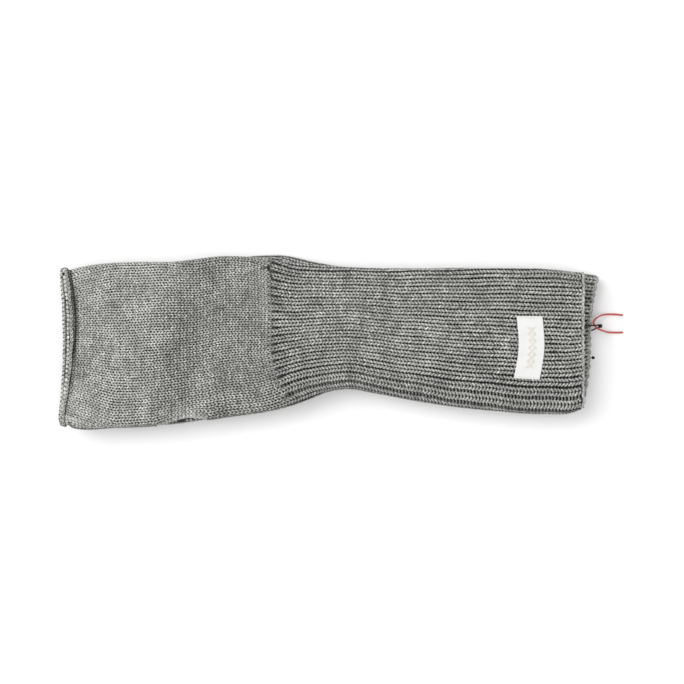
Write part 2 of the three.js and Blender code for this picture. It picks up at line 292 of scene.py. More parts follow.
class Glove:
    """The shape of one glove. far and near are its outlines at +Y and at -Y, level is the height of its
    middle and rise what the finger end adds. seam_side is the fold with the side seam and the thumb
    opening. skew is the cuff's slant over y, roll_size the roll's size over a layer's width, and groove
    the distance from the roll's start to the groove beside it over y, where painted shade darkens the yarn."""

    def __init__(self, name, far, near, level, rise, finger_end, cuff_end, seam_side, skew, roll_size,
                 groove):
        self.name = name
        self.far = smooth_curve(far)
        self.near = smooth_curve(near)
        self.level = level
        self.rise = rise
        self.finger_end = finger_end
        self.cuff_end = cuff_end
        self.roll_x = finger_end - ROLL_LEAD
        self.seam_side = seam_side
        self.on_top = name == "upper"
        self.skew = skew
        self.roll_size = smooth_curve(roll_size)
        self.groove = smooth_curve(groove)

    def middle(self, x):
        return self.level + self.rise * np.maximum(0, (RIB_START - x) / (RIB_START - self.roll_x))

    def wall(self, x):
        return HAND_WALL + (RIB_WALL - HAND_WALL) * blend(x, *WALL_CHANGE)

    def section(self, x):
        """Where the folds are, the fold's radius and the half width of the flat part."""
        half = self.wall(x) / 2
        far, near = self.far(x) - half, self.near(x) + half
        radius = ROOM / 2 + half
        return far, near, radius, (far - near) / 2 - radius

    def turns(self, x):
        """Stitch numbers at the -Y fold and at the +Y fold. More wales lie on top at the wrist."""
        fingers = fall(x - self.finger_end, *FINGERS)
        hand = blend(x, *HAND_START) * fall(x, *HAND_END)
        wrist = blend(x, *WRIST)
        cuff = to_cuff(x)
        near = TURN_HAND * hand - TURN_FINGERS * fingers - TURN_WRIST[0] * wrist + TURN_CUFF[0] * cuff
        far = STITCHES - TURN_HAND * hand + TURN_WRIST[1] * wrist - TURN_CUFF[1] * cuff ** CUFF_EASE
        return near, far

    def fold_stitch(self, x):
        """The stitch number at the fold with the side seam."""
        return self.turns(x)[0 if self.seam_side < 0 else 1]

    def place(self, stitch, x):
        """The stitch's layer (+1 on top) and its share of the way from the -Y fold to the +Y fold."""
        near_turn, far_turn = self.turns(x)
        s = np.mod(stitch - near_turn, 2 * STITCHES) + near_turn
        top = s <= far_turn
        share = np.where(top, (s - near_turn) / (far_turn - near_turn),
                         (2 * STITCHES + near_turn - s) / (2 * STITCHES + near_turn - far_turn))
        wrist = blend(x, *WRIST) * top
        spread = SPREAD_RIB[0] + SPREAD_RIB[1] * to_cuff(x)
        spread = spread * (1 - share) * (1 - np.exp(-(share / SPREAD_FROM) ** SPREAD_EASE))
        share = share + wrist * spread + (1 - wrist) * SPREAD_HAND * share * (1 - share)
        along = np.clip((x - SLIT[0]) / (SLIT[1] - SLIT[0]), 0, 1)
        cut = SLIT_WIDTH * np.sin(math.pi * along ** SLIT_LEAN) ** BLUNT * top
        if self.seam_side < 0:
            share = share + cut * (1 - share) ** SLIT_HOLD
        else:
            share = share - cut * share ** SLIT_HOLD
        return np.where(top, 1.0, -1.0), share

    def surface(self, stitch, v, lift):
        """v is the place along the glove, and past the roll's start the length of cloth rolled up. lift
        is measured outwards from the middle of the wall."""
        stitch, v, lift = np.broadcast_arrays(stitch, v, lift)
        x = np.maximum(v, self.roll_x)
        far, near, radius, flat = self.section(x)
        layer, share = self.place(stitch, x)
        size = np.where(layer > 0, self.roll_size(share), UNDER_ROLL)
        turn = np.interp(self.roll_x - v, roll_run, roll_angle)
        nx, nn = ROLL_UP * np.sin(turn), ROLL_ACROSS * np.cos(turn)
        long = np.hypot(nx, nn)
        lift = lift * np.where(v < self.roll_x, size ** ROLL_THIN, 1)
        dx = -ROLL_ACROSS * size * np.sin(turn) + lift * nx / long
        out = ROLL_UP * size * (1 - np.cos(turn)) + lift * nn / long
        # round the -Y fold, over the flat part and round the +Y fold
        length = share * (2 * flat + math.pi * radius)
        quarter = math.pi * radius / 2
        first = np.clip(length / radius, 0, math.pi / 2)
        last = np.clip((length - quarter - 2 * flat) / radius, 0, math.pi / 2)
        along = np.clip(length - quarter, 0, 2 * flat)
        reach = radius + out
        y = (far + near) / 2 - flat + along - reach * np.cos(first) + reach * np.sin(last)
        z = reach * np.where(length < quarter, np.sin(first), np.cos(last))
        lean = LEAN * fade(share, LEAN_SHARE) ** 2 * hump(x, RIB_START, LEAN_LENGTH)
        x = x + dx + lean
        x = x + self.bow(y) * fade(x - self.finger_end, END_FADE)
        x = x - ROLL_TUCK * (1 - size) * fade(x - self.finger_end, ROLL_TUCK_FADE)
        x = x + self.skew(y) * fade(self.cuff_end - x, END_FADE)
        z = self.middle(x) + layer * z
        if self.on_top:
            z = z + self.relief(x, y, share) * (layer > 0)
        return np.stack([x, y, z], -1)

    def bow(self, y):
        """How far the finger edge curves inwards between its ends."""
        return BOW * np.clip(1 - ((y - BOW_MIDDLE) / BOW_HALF) ** 2, 0, 1)

    def relief(self, x, y, share):
        """Soft hills, dips, waves and creases of the layer that lies on top."""
        inside = np.sin(np.clip(share, 0, 1) * math.pi) ** BLUNT
        total = sum(ridge(x, y, *hill) for hill in HILLS)
        height, along, across = HAND_WAVE
        wave = height * np.sin(x / along + HAND_WAVE_BEND * np.sin(y / across))
        total = total + wave * fall(x, *HAND_WAVE_END)
        height, along, across = RIB_WAVE
        total = total + height * np.sin(y / across + x / along) * blend(x, *RIB_WAVE_START)
        height, along, across = LONG_WAVE
        total = total + height * np.sin(x / along + y / across)
        total = total * blend(x - self.finger_end, *RELIEF_START) + ridge(x, y, *RIB_DIP)
        return total * inside + self.creases(x, y)

    def creases(self, x, y):
        """Depth of the short creases, as a negative height."""
        total = 0 * x
        for (ax, ay), (bx, by), deep in CREASES:
            square = (bx - ax) ** 2 + (by - ay) ** 2
            t = np.clip(((x - ax) * (bx - ax) + (y - ay) * (by - ay)) / square, 0, 1)
            away = (x - ax - t * (bx - ax)) ** 2 + (y - ay - t * (by - ay)) ** 2
            total = total - deep * np.exp(-away / CREASE_SPREAD)
        return total

    def shade(self, x, y):
        """Painted shade and light: how much lighter the valley, the ribs and the cuff look, as a height of
        the yarn.
        """
        total = ridge(x, y, *VALLEY_SHADE)
        for amount, low, high in SHADE_STEPS:
            total = total + amount * blend(x, low, high)
        return total


upper = Glove(
    "upper",
    far=[(-191, 48.2), (-172, 53.2), (-145, 56), (-112, 56.3), (-74, 60.3), (-52, 59.2), (-34, 56.8),
         (12, 52.6), (60, 51.6), (110, 52.1), (155, 50.8), (176, 48.6)],
    near=[(-191, -55.6), (-180, -60), (-150, -60.2), (-118, -58.6), (-76, -52.3), (-52, -47.8), (-30, -41.2),
          (-8, -34.8), (10, -33), (30, -36), (66, -42.6), (110, -48), (150, -50.5), (166, -50), (176, -46.6)],
    level=17.7, rise=3.0, finger_end=-182.1, cuff_end=176.0, seam_side=-1, skew=lambda y: 0 * y,
    roll_size=[(0, 0.38), (0.12, 0.42), (0.22, 0.62), (0.36, 0.9), (0.6, 1.12), (0.8, 1.05), (0.92, 0.88),
               (1, 0.6)],
    groove=[(-48, -1.5), (-37, -0.2), (-20, 1.6), (13, 4.9), (46, 3.2)])
lower = Glove(
    "lower",
    far=[(-183, 47.5), (-165, 52), (-140, 55), (-112, 55.4), (-74, 58.2), (-50, 60.4), (-34, 60.3),
         (-14, 56), (12, 51.6), (60, 50.6), (110, 51), (155, 49.9), (182, 46)],
    near=[(-183, -52), (-172, -58.4), (-150, -59.2), (-112, -59), (-86, -54.4), (-62, -50.6), (-40, -45.6),
          (-18, -37.4), (8, -31.8), (30, -35), (66, -41.6), (110, -47), (150, -49.4), (170, -48),
          (182, -42.6)],
    level=5.8, rise=1.8, finger_end=-173.4, cuff_end=182.0, seam_side=1,
    skew=lambda y: 0.03 * y + 0.00005 * y ** 3,
    roll_size=[(0, 0.6), (0.2, 1), (0.8, 1), (1, 0.6)], groove=[(-48, 2.5), (48, 2.5)])

# ---- the knit ----
HAND_COURSE = 2.25  # mm from one course to the next
RIB_COURSE = 2.38
ROLL_COURSE = 4.4  # the loops lie loose and wide on the rolled edge
PLAIN_YARN, RIB_YARN, ROLL_YARN = 0.61, 0.67, 0.98  # radius
OVAL = (1.10, 0.92)  # the yarn flattens a little in the cloth
DENSE_OVAL = (1.34, 0.86)  # and more in the layers that lie underneath
# Yarn of the layer on top, of its rolled edge and of the rest: samples for each stitch, sides, section.
TOP_YARN = (12, 6, OVAL)
TOP_ROLL_YARN = (24, 9, OVAL)
HIDDEN_YARN = (9, 5, DENSE_OVAL)

# Half a loop, from the top of its head to the next sinker; the other half mirrors it. Distance from the
# wale's middle in stitches, place along the wale in courses, and lift in mm.
CONTROLS = 8  # for a whole stitch
PLAIN_LOOP = [
    (0, -0.80, -0.62), (0.45, -0.40, 0.08), (0.25, 0.08, 0.62), (0.07, 0.56, 0.35), (0.5, 0.78, -0.62)]
RIB_LOOP = [
    (0, -0.80, 0.25), (0.87, -0.44, 0.72), (0.50, 0.06, 1.22), (0.13, 0.58, 0.95), (0.5, 0.78, 0.0)]
ROLL_LOOP = [
    (0, -0.26, -1.00), (0.16, -0.24, -0.75), (0.25, 0, -0.10), (0.34, 0.24, -0.75), (0.5, 0.26, -1.00)]
PLAIN_FRONT, RIB_FRONT, ROLL_FRONT = 0.45, 1.02, 1.12  # how far the loops' fronts stand out; yarn below them takes painted shade

# Unevenness: size, pace along a course, and what is added to the seed.
ROW = 2.3  # mm for each row number
FIRST_ROW = 300  # keeps every row number above nought
WAVE_STITCHES = 2.1  # in one wave at pace 1
ROW_SHIFT = 13.7  # waves from one row to the next
UNEVEN_ACROSS = (0.06, 1.9, 0)  # stitches
UNEVEN_ALONG = (0.14, 1.0, 1)  # mm
UNEVEN_LOOP = (0.10, 1.3, 2)  # share of the lift
UNEVEN_LIFT = (0.07, 0.8, 3)  # mm
UNEVEN_YARN = (0.09, 2.3, 4)  # share of the radius
UNEVEN_FIBRE = (0.05, 6.1, 5)  # share of the radius
# The wales and the courses sway: size, and radians for each row and each stitch.
WALE_SWAY, WALE_SWAY_BEND = (0.10, 0.31, 0.4), 0.9
COURSE_SWAY = (0.35, 0.045, 0.37)
COURSE_SWAY_START = 15.0  # mm from the roll
WALE_DRIFT, DRIFT_ROWS, DRIFT_SEED = 0.06, 5, 9

# The rib is stretched open by the -Y fold, and near the cuff by the +Y fold too.
OPEN_NEAR = (0.12, 0.24)  # shares of a layer's width
OPEN_FAR = (0.88, 0.94)
OPEN_FAR_X = (120.0, 150.0)
OPEN_EASE = 0.7
PURL_WIDER = 0.12  # stitches
PURL_FLATTER, PURL_HIGHER, PURL_LIGHTER = 0.9, 0.7, 0.75  # shares of the loops' length, lift and painted shade

OUTWARDS = 0.3  # a step in lift, to find the surface's normal
ROLL_BEAD = 0.10  # the yarn swells at each head and each sinker of the rolled edge
FULLER, FULLER_LENGTH = 0.32, 12.0  # yarn of the undersides beside the roll, with nothing below it
RIB_BEGIN, RIB_BEGIN_LENGTH = 0.75, 5.0  # less painted shade, so the rib's first courses are as light as the hand's
CREASE_SHADE = 0.5  # painted shade in the creases, as a share of a crease's depth
LOWER_SHADE = 0.10  # painted shade: the lower glove lies below the upper one
MOUTH = (34.0, 10.0)  # from the cuff's end: the stretch where both faces of the yarn take painted light
MOUTH_FRONT = 0.55
GROOVE_SHADE, GROOVE_WIDTH = 0.68, 1.5  # painted shade in the groove beside the rolled edge


def loop_controls(rib, plain_loop):
    """Control values for two stitches, a purl (in the rib) and a knit, for each course."""
    table = np.zeros((3, len(rib), 2 * CONTROLS))
    for i in range(2 * CONTROLS):
        k = i % CONTROLS
        first_half = k <= CONTROLS // 2
        # in a rib, the yarn goes to the other face at each sinker
        side = -1.0 if (i < CONTROLS) == first_half else 1.0
        plain, ribbed = plain_loop[min(k, CONTROLS - k)], RIB_LOOP[min(k, CONTROLS - k)]
        off = (1 - rib) * plain[0] + rib * ribbed[0]
        table[0, :, i] = (off if first_half else 1 - off) - k / CONTROLS
        table[1, :, i] = (1 - rib) * plain[1] + rib * ribbed[1]
        table[2, :, i] = (1 - rib) * plain[2] + rib * side * ribbed[2]
    return table


def loop_offsets(rib, plain_loop, stitch):
    """Offsets of the yarn across the wale, along it and outwards, for each course and each sample."""
    table = loop_controls(rib, plain_loop)
    control = np.floor(stitch * CONTROLS).astype(int)
    weights = spline_weights(stitch * CONTROLS - control)
    total = 0
    for k in range(4):
        chosen = np.broadcast_to((control + k - 1) % (2 * CONTROLS), (3, len(rib), stitch.size))
        total = total + weights[k] * np.take_along_axis(table, chosen, axis=2)
    return total


def open_rib(glove, u, places, rib):
    """How far the rib is stretched open: its purl wales lie wide and flat, each course as a bar."""
    _, share = glove.place(u, np.maximum(places, glove.roll_x))
    wide = fall(share, *OPEN_NEAR) + blend(share, *OPEN_FAR) * blend(places, *OPEN_FAR_X)
    return (wide * rib) ** OPEN_EASE


def yarn_light(glove, centres, places, rib, lift, wide, rolled, under):
    """The yarn's height against the loops' fronts, with painted shade and light added, for the wool's painted
    shade, and the side that takes the painted light.
    """
    x, y = centres[..., 0], centres[..., 1]
    face = np.full((len(places), 1, 1), -1.0 if rolled else 1.0)
    if rolled:
        depth = -lift - ROLL_FRONT
    else:
        front = PLAIN_FRONT * (1 - rib) + RIB_FRONT * rib
        begin = 1 - RIB_BEGIN * hump(places, RIB_START, RIB_BEGIN_LENGTH) * (rib > 0)
        depth = (lift - front) * (1 - PURL_LIGHTER * wide) * begin
    if glove.on_top:
        # painted shade in the creases, and painted shade and light over the valley, the ribs and the cuff
        depth = depth + CREASE_SHADE * glove.creases(x, y) + glove.shade(x, y)
    else:
        # painted shade over the whole lower glove
        depth = depth - LOWER_SHADE
    if under and not rolled:  # the inside shows at the cuff's mouth, so both faces take painted light there
        mouth = blend(places, glove.cuff_end - MOUTH[0], glove.cuff_end - MOUTH[1])
        depth = (1 - mouth) * depth + mouth * (np.abs(lift) - MOUTH_FRONT)
        face = face * (1 - mouth[:, :, None])
    if not rolled:
        # painted shade in the groove beside the rolled edge
        beside = x - glove.roll_x - glove.bow(y) - glove.groove(y)
        depth = depth - GROOVE_SHADE * hump(beside, 0, GROOVE_WIDTH)
    return depth, face


def knit(name, glove, start, places, rib, course, yarn, seed, look, body, slot):
    """Courses of loops across one layer, from stitch number start on, course mm apart. places are the
    courses' v, the loops' heads point to the finger end, and rib is how far each is a one-by-one rib."""
    samples, sides, oval = yarn
    rolled = slot == "edge_knit"
    under = start > 0
    stitch = start + np.linspace(0, STITCHES, STITCHES * samples + 1)[None, :]
    across, along, lift = loop_offsets(rib, ROLL_LOOP if rolled else PLAIN_LOOP, stitch)
    places, rib = places[:, None], rib[:, None]
    row = places / ROW + FIRST_ROW
    slow = stitch / WAVE_STITCHES + ROW_SHIFT * np.floor(row)

    def uneven(size, pace, number):
        return size * wander(slow * pace, seed + number)

    u = stitch + across + uneven(*UNEVEN_ACROSS)
    size, per_row, per_stitch = WALE_SWAY
    u = u + size * np.sin(per_row * row + WALE_SWAY_BEND * np.sin(per_stitch * stitch))
    u = u + WALE_DRIFT * wander(row / DRIFT_ROWS + 0 * stitch, seed + DRIFT_SEED)
    wide = open_rib(glove, u, places, rib)
    purl = 0.5 + 0.5 * np.cos(math.pi * stitch)
    u = u + PURL_WIDER * wide * np.sin(math.pi * stitch)
    v = places + along * course * (1 - PURL_FLATTER * wide * purl) + uneven(*UNEVEN_ALONG)
    size, per_row, per_stitch = COURSE_SWAY
    sway = size * np.sin(stitch * per_stitch + per_row * row)
    v = v + sway * blend(places, glove.roll_x, glove.roll_x + COURSE_SWAY_START)
    lift = lift * (1 + uneven(*UNEVEN_LOOP)) + uneven(*UNEVEN_LIFT)
    lift = lift * np.where(lift < 0, 1 - PURL_HIGHER * wide, 1)
    centres = glove.surface(u, v, lift)
    centres[:, 1:-1] = 0.25 * centres[:, :-2] + 0.5 * centres[:, 1:-1] + 0.25 * centres[:, 2:]
    normals = glove.surface(u, v, lift + OUTWARDS) - glove.surface(u, v, lift)

    radius = ROLL_YARN if rolled else PLAIN_YARN * (1 - rib) + RIB_YARN * rib
    radius = radius * (1 + uneven(*UNEVEN_YARN) + uneven(*UNEVEN_FIBRE))
    if rolled:
        radius = radius * (1 + ROLL_BEAD * np.cos(2 * TAU * stitch))
    elif under:
        radius = radius * (1 + FULLER * hump(places, glove.roll_x, FULLER_LENGTH))
    depth, face = yarn_light(glove, centres, places, rib, lift, wide, rolled, under)
    mesh = tubes(name, centres, normals, radius, sides, depth, face, oval)
    return add_object(name, mesh, body, look)


# ---- materials ----
def material(name, colour, roughness, **values):
    m = bpy.data.materials.new(name)
    m.use_nodes = True
    tree = m.node_tree
    shader = next(n for n in tree.nodes if n.type == "BSDF_PRINCIPLED")
    shader.inputs["Base Color"].default_value = (*colour, 1)
    shader.inputs["Roughness"].default_value = roughness
    for key, value in values.items():
        shader.inputs[key.replace("_", " ")].default_value = value
    return m, tree, shader


def node(tree, kind, links=(), **values):
    n = tree.nodes.new(kind)
    for key, value in values.items():
        if key in n.inputs:
            n.inputs[key].default_value = value
        else:
            setattr(n, key, value)
    for key, source in dict(links).items():
        tree.links.new(source, n.inputs[key])
    return n


def maths(tree, operation, a, b):
    n = tree.nodes.new("ShaderNodeMath")
    n.operation = operation
    for i, value in enumerate((a, b)):
        if isinstance(value, (int, float)):
            n.inputs[i].default_value = value
        else:
            tree.links.new(value, n.inputs[i])
    return n.outputs[0]


def mixed(tree, *shares):
    """The sum of several values, each times its weight."""
    total = None
    for value, weight in shares:
        part = maths(tree, "MULTIPLY", value, weight)
        total = part if total is None else maths(tree, "ADD", total, part)
    return total


def noise(tree, vector, scale, detail, **values):
    made = node(tree, "ShaderNodeTexNoise", {"Vector": vector}, Scale=scale, Detail=detail, **values)
    return made.outputs["Fac"]


def bands(tree, vector, direction, scale, distortion):
    made = node(tree, "ShaderNodeTexWave", {"Vector": vector}, bands_direction=direction, Scale=scale,
                Distortion=distortion)
    return made.outputs["Fac"]


def object_coordinates(tree):
    return node(tree, "ShaderNodeTexCoord").outputs["Object"]


def yarn_coordinates(tree, along, around):
    uv = node(tree, "ShaderNodeUVMap", uv_map="yarn")
    scaled = node(tree, "ShaderNodeMapping", {"Vector": uv.outputs[0]})
    scaled.inputs["Scale"].default_value = (along, around, 1)
    return scaled.outputs[0]


def ramp(tree, factor, *stops):
    n = node(tree, "ShaderNodeValToRGB", {"Fac": factor})
    for element, (place, colour) in zip(n.color_ramp.elements, (stops[0], stops[-1])):
        element.position, element.color = place, (*colour, 1)
    for place, colour in stops[1:-1]:
        n.color_ramp.elements.new(place).color = (*colour, 1)
    return n.outputs["Color"]


def add_bump(tree, shader, height, strength, distance):
    bump = node(tree, "ShaderNodeBump", {"Height": height}, Strength=strength, Distance=distance)
    tree.links.new(bump.outputs[0], shader.inputs["Normal"])


def wool_material(name, dark, middle, light):
    """Heather wool: fibres of several greys, twisted plies, a soft sheen, and painted shade deep in the knit.
    """
    m, tree, shader = material(name, middle, roughness=0.92, Sheen_Weight=0.25, Sheen_Roughness=0.5)
    place = object_coordinates(tree)
    fibres = noise(tree, yarn_coordinates(tree, along=0.55, around=4.0), scale=2.0, detail=3.0, Roughness=0.7)
    flecks = noise(tree, place, scale=820.0, detail=2.0, Roughness=0.6)
    cloud = noise(tree, place, scale=70.0, detail=3.0)
    tone = mixed(tree, (fibres, 0.52), (flecks, 0.36), (cloud, 0.12))
    colour = ramp(tree, tone, (0.39, dark), (0.5, middle), (0.61, light))
    # painted shade: the depth attribute darkens the yarn deep in the knit, in creases, in the groove and on
    # the lower glove, and lightens its lit side
    deep = node(tree, "ShaderNodeAttribute", attribute_name="depth").outputs["Fac"]
    shade = node(tree, "ShaderNodeMapRange", {"Value": deep}, interpolation_type="SMOOTHSTEP")
    for key, value in (("From Min", -0.37), ("From Max", 0.74), ("To Min", 0.02), ("To Max", 1.0)):
        shade.inputs[key].default_value = value
    mix = node(tree, "ShaderNodeVectorMath", {0: colour, 1: shade.outputs[0]}, operation="MULTIPLY")
    tree.links.new(mix.outputs[0], shader.inputs["Base Color"])
    twist = yarn_coordinates(tree, along=0.55, around=2.0)
    plies = bands(tree, twist, "DIAGONAL", scale=0.5, distortion=1.5)
    add_bump(tree, shader, maths(tree, "ADD", plies, fibres), strength=0.6, distance=0.0002)
    return m


def satin_material(name, colour):
    """White woven satin: fine warp and weft, a slight unevenness, a soft gloss."""
    m, tree, shader = material(name, colour, roughness=0.55, Sheen_Weight=0.15)
    place = object_coordinates(tree)
    warp = bands(tree, place, "Y", scale=1400.0, distortion=0.3)
    weft = bands(tree, place, "X", scale=600.0, distortion=0.3)
    cloth = maths(tree, "ADD", warp, maths(tree, "MULTIPLY", weft, 0.6))
    slub = noise(tree, place, scale=160.0, detail=3.0)
    tone = mixed(tree, (cloth, 0.25), (slub, 0.5))
    shade = ramp(tree, tone, (0.2, tuple(0.90 * c for c in colour)), (0.7, colour))
    tree.links.new(shade, shader.inputs["Base Color"])
    add_bump(tree, shader, cloth, strength=0.35, distance=0.0001)
    return m


def thread_material(name, colour, roughness=0.6, twist=3.0, **values):
    """Twisted thread or cord: the plies' lay, and a little unevenness of colour."""
    m, tree, shader = material(name, colour, roughness, **values)
    lay = bands(tree, yarn_coordinates(tree, twist, around=2.0), "DIAGONAL", scale=0.5, distortion=0.5)
    uneven = noise(tree, yarn_coordinates(tree, along=0.8, around=1.0), scale=1.5, detail=3.0)
    tone = mixed(tree, (lay, 0.5), (uneven, 0.5))
    shade = ramp(tree, tone, (0.2, tuple(0.62 * c for c in colour)), (0.75, colour))
    tree.links.new(shade, shader.inputs["Base Color"])
    add_bump(tree, shader, lay, strength=0.5, distance=0.00015)
    return m


def lacquer_material(name, colour, worn):
    """Lacquer on wire, a little worn."""
    m, tree, shader = material(name, colour, roughness=0.45, Specular_IOR_Level=0.25)
    wear = noise(tree, object_coordinates(tree), scale=900.0, detail=4.0)
    tree.links.new(ramp(tree, wear, (0.55, colour), (0.75, worn)), shader.inputs["Base Color"])
    return m


wool = wool_material("heather_wool", (0.13, 0.13, 0.124), (0.43, 0.43, 0.408), (0.92, 0.92, 0.872))
satin = satin_material("label_satin_white", (0.775, 0.77, 0.76))
label_thread = thread_material("label_thread_white", (0.70, 0.695, 0.68))
gold_thread = thread_material("motif_thread_gold", (0.90, 0.87, 0.76), roughness=0.4)
lacquer = lacquer_material("pin_black_lacquer", (0.006, 0.006, 0.007), (0.03, 0.03, 0.033))
black_thread = thread_material("knot_thread_black", (0.010, 0.010, 0.011), roughness=0.9,
                               Specular_IOR_Level=0.2)
coral = thread_material("tag_cord_coral", (0.66, 0.085, 0.055), roughness=0.65, twist=1.2, Sheen_Weight=0.2)

# ---- knit the gloves ----
LAYERS = (("top", 0), ("underside", STITCHES))  # with the number of the first stitch
GLOVES = ((lower, "lower_glove", 100), (upper, "upper_glove", 200))  # with body and seed
JOIN = 1.2  # from the rib's start to the first course on each side, and from the cuff's end
ROLL_JOIN = 0.8  # between the hand's last course and the roll's start
BIND_OFF_ROOM = 3.6  # cloth left for the bind-off at the end of the roll
ROLL_ROOM = 1.5  # between the roll's courses and the hand's last one
RIB_GROWS = (RIB_START - 3, RIB_START + 13)  # where the plain loops turn into ribs

for glove, body, seed in GLOVES:
    hand = np.arange(RIB_START - JOIN, glove.roll_x + ROLL_JOIN, -HAND_COURSE)
    roll = np.arange(glove.roll_x - roll_run[-1] + BIND_OFF_ROOM, hand[-1] - ROLL_ROOM, ROLL_COURSE)
    rib = np.arange(RIB_START + JOIN, glove.cuff_end - JOIN, RIB_COURSE)
    ribness = blend(rib, *RIB_GROWS)
    half, third = len(hand) // 2, len(rib) // 3
    parts = (
        ("hand", "knit_wrist", "plain_knit", hand[:half], np.zeros(half), HAND_COURSE),
        ("hand", "knit_fingers", "plain_knit", hand[half:], np.zeros(len(hand) - half), HAND_COURSE),
        ("rolled_edge", "knit", "edge_knit", roll, np.zeros(len(roll)), ROLL_COURSE),
        ("forearm", "knit_wrist", "rib_knit", rib[:third], ribness[:third], RIB_COURSE),
        ("forearm", "knit_middle", "rib_knit", rib[third:2 * third], ribness[third:2 * third], RIB_COURSE),
        ("forearm", "knit_cuff", "rib_knit", rib[2 * third:], ribness[2 * third:], RIB_COURSE),
    )
    for word, start in LAYERS:
        for part, kind, slot, places, ribbed, course in parts:
            yarn = HIDDEN_YARN
            if glove.on_top and word == "top":
                yarn = TOP_ROLL_YARN if part == "rolled_edge" else TOP_YARN
            obj = knit(f"{glove.name}_{part}_{word}_{kind}", glove, start, places, ribbed, course, yarn,
                       seed + start, wool, body, slot)
            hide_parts(f"{glove.name}_{part}_{word}")

# ---- edges: plaited yarn along the bind-off, the cast-on, the seams and the thumb opening ----
# face and light set each plait's painted shade and painted light
BIND_OFF = dict(width=0.85, thick=0.40, pitch=5.6, radius=0.52, sides=7, steps=14, face=-1, light=0.05)
ROLL_CORE = dict(width=1.3, thick=0.45, pitch=6.0, radius=0.75, sides=6, steps=14)
CAST_ON = dict(width=0.62, thick=0.32, pitch=2.9, radius=0.50, sides=5, light=0.15)
THUMB_EDGE = dict(width=0.45, thick=0.3, pitch=3.0, radius=0.42, sides=5)
SIDE_SEAM = dict(width=0.6, thick=0.35, pitch=3.0, radius=0.45, sides=5)
EDGE_STEPS, SLIT_STEPS, SEAM_STEPS, LEAST_STEPS = 200, 60, 160, 8
BIND_OFF_INSET, BIND_OFF_WAVE, BIND_OFF_LIFT = 1.0, 0.15, -1.0
CORE_LIFT = 1.45
CAST_ON_INSET, CAST_ON_LIFT, CAST_ON_SCALLOP = 0.75, 0.85, 0.35
CAST_ON_WANDER, CAST_ON_WAVE, CAST_ON_SEED = 0.25, 3, 50
SEAM_INSET = 1.5  # from the glove's ends
SEAM_LIFT, SEAM_LIFT_RIB = 1.05, 0.55
SEAM_RISE = (RIB_START - 5, RIB_START + 8)
SLIT_OVERLAP = 1.0
SLIT_SIDE = 0.02  # stitches
STRAND_MIDDLE, STRAND_SWING = 0.52, 0.42  # shares of the plait's width


def braid(name, glove, stitches, places, lift, body, slot, width, thick, pitch, radius, sides,
          steps=9, face=1, light=0.40):
    """Four strands plaited along a line on the glove, given by its stitch numbers and places. steps is
    for each pitch, and light is painted light: how much lighter the plait is than yarn at its depth."""
    line = glove.surface(stitches, places, lift)
    above = glove.surface(stitches, places, lift + OUTWARDS)
    run = run_along(line)
    s = np.linspace(0, run[-1], max(LEAST_STEPS, int(run[-1] / pitch * steps)))
    centre = np.stack([np.interp(s, run, line[:, i]) for i in range(3)], -1)
    normal = unit(np.stack([np.interp(s, run, (above - line)[:, i]) for i in range(3)], -1))
    across = unit(np.cross(unit(np.gradient(centre, axis=0)), normal))
    rows, depth = [], []
    for hand in (1, -1):
        for phase in (0, math.pi):
            a = TAU * s / pitch + phase
            side = hand * width * (STRAND_MIDDLE + STRAND_SWING * np.cos(a))
            up = thick * np.sin(a)
            rows.append(centre + side[:, None] * across + up[:, None] * normal)
            # painted shade: each strand darker where it dips, and lighter by light
            depth.append(face * up - thick + light)
    normals = np.broadcast_to(normal, (len(rows), *normal.shape))
    mesh = tubes(name, np.array(rows), normals, radius, sides, np.array(depth), face)
    return add_object(name, mesh, body, wool)


for glove, body, _ in GLOVES:
    for word, start in LAYERS:
        s = np.linspace(start, start + STITCHES, EDGE_STEPS)
        turned = glove.roll_x - roll_run[-1] + BIND_OFF_INSET + BIND_OFF_WAVE * np.sin(s)
        braid(f"{glove.name}_bind_off_{word}", glove, s, turned, BIND_OFF_LIFT, body, "edge_knit", **BIND_OFF)
        inner = glove.roll_x - np.interp(math.pi, roll_angle, roll_run) + 0 * s
        braid(f"{glove.name}_roll_core_{word}", glove, s, inner, CORE_LIFT, body, "edge_knit", **ROLL_CORE)
        scallop = CAST_ON_SCALLOP * np.cos(math.pi * s)
        end = glove.cuff_end - CAST_ON_INSET - scallop
        end = end + CAST_ON_WANDER * wander(s / CAST_ON_WAVE, CAST_ON_SEED + start)
        edge = braid(f"{glove.name}_cast_on_{word}", glove, s, end, CAST_ON_LIFT - scallop, body,
                     "edge_knit", **CAST_ON)
        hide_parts(f"{glove.name}_cuff_edge_{word}")
    slit = np.linspace(SLIT[0] + SLIT_OVERLAP, SLIT[1] - SLIT_OVERLAP, SLIT_STEPS)
    on_edge = glove.fold_stitch(slit) - SLIT_SIDE * glove.seam_side
    braid(f"{glove.name}_thumb_opening_edge", glove, on_edge, slit, 0.0, body, "edge_knit", **THUMB_EDGE)
    for part, low, high in (("finger", glove.finger_end + SEAM_INSET, SLIT[0] + SLIT_OVERLAP),
                            ("forearm", SLIT[1] - SLIT_OVERLAP, glove.cuff_end - SEAM_INSET)):
        x = np.linspace(low, high, SEAM_STEPS)
        lift = SEAM_LIFT + SEAM_LIFT_RIB * blend(x, *SEAM_RISE)
        seam = braid(f"{glove.name}_side_seam_{part}_chain", glove, glove.fold_stitch(x), x, lift, body,
                     "seam_yarn", **SIDE_SEAM)
        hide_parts(f"{glove.name}_side_seam_{part}")

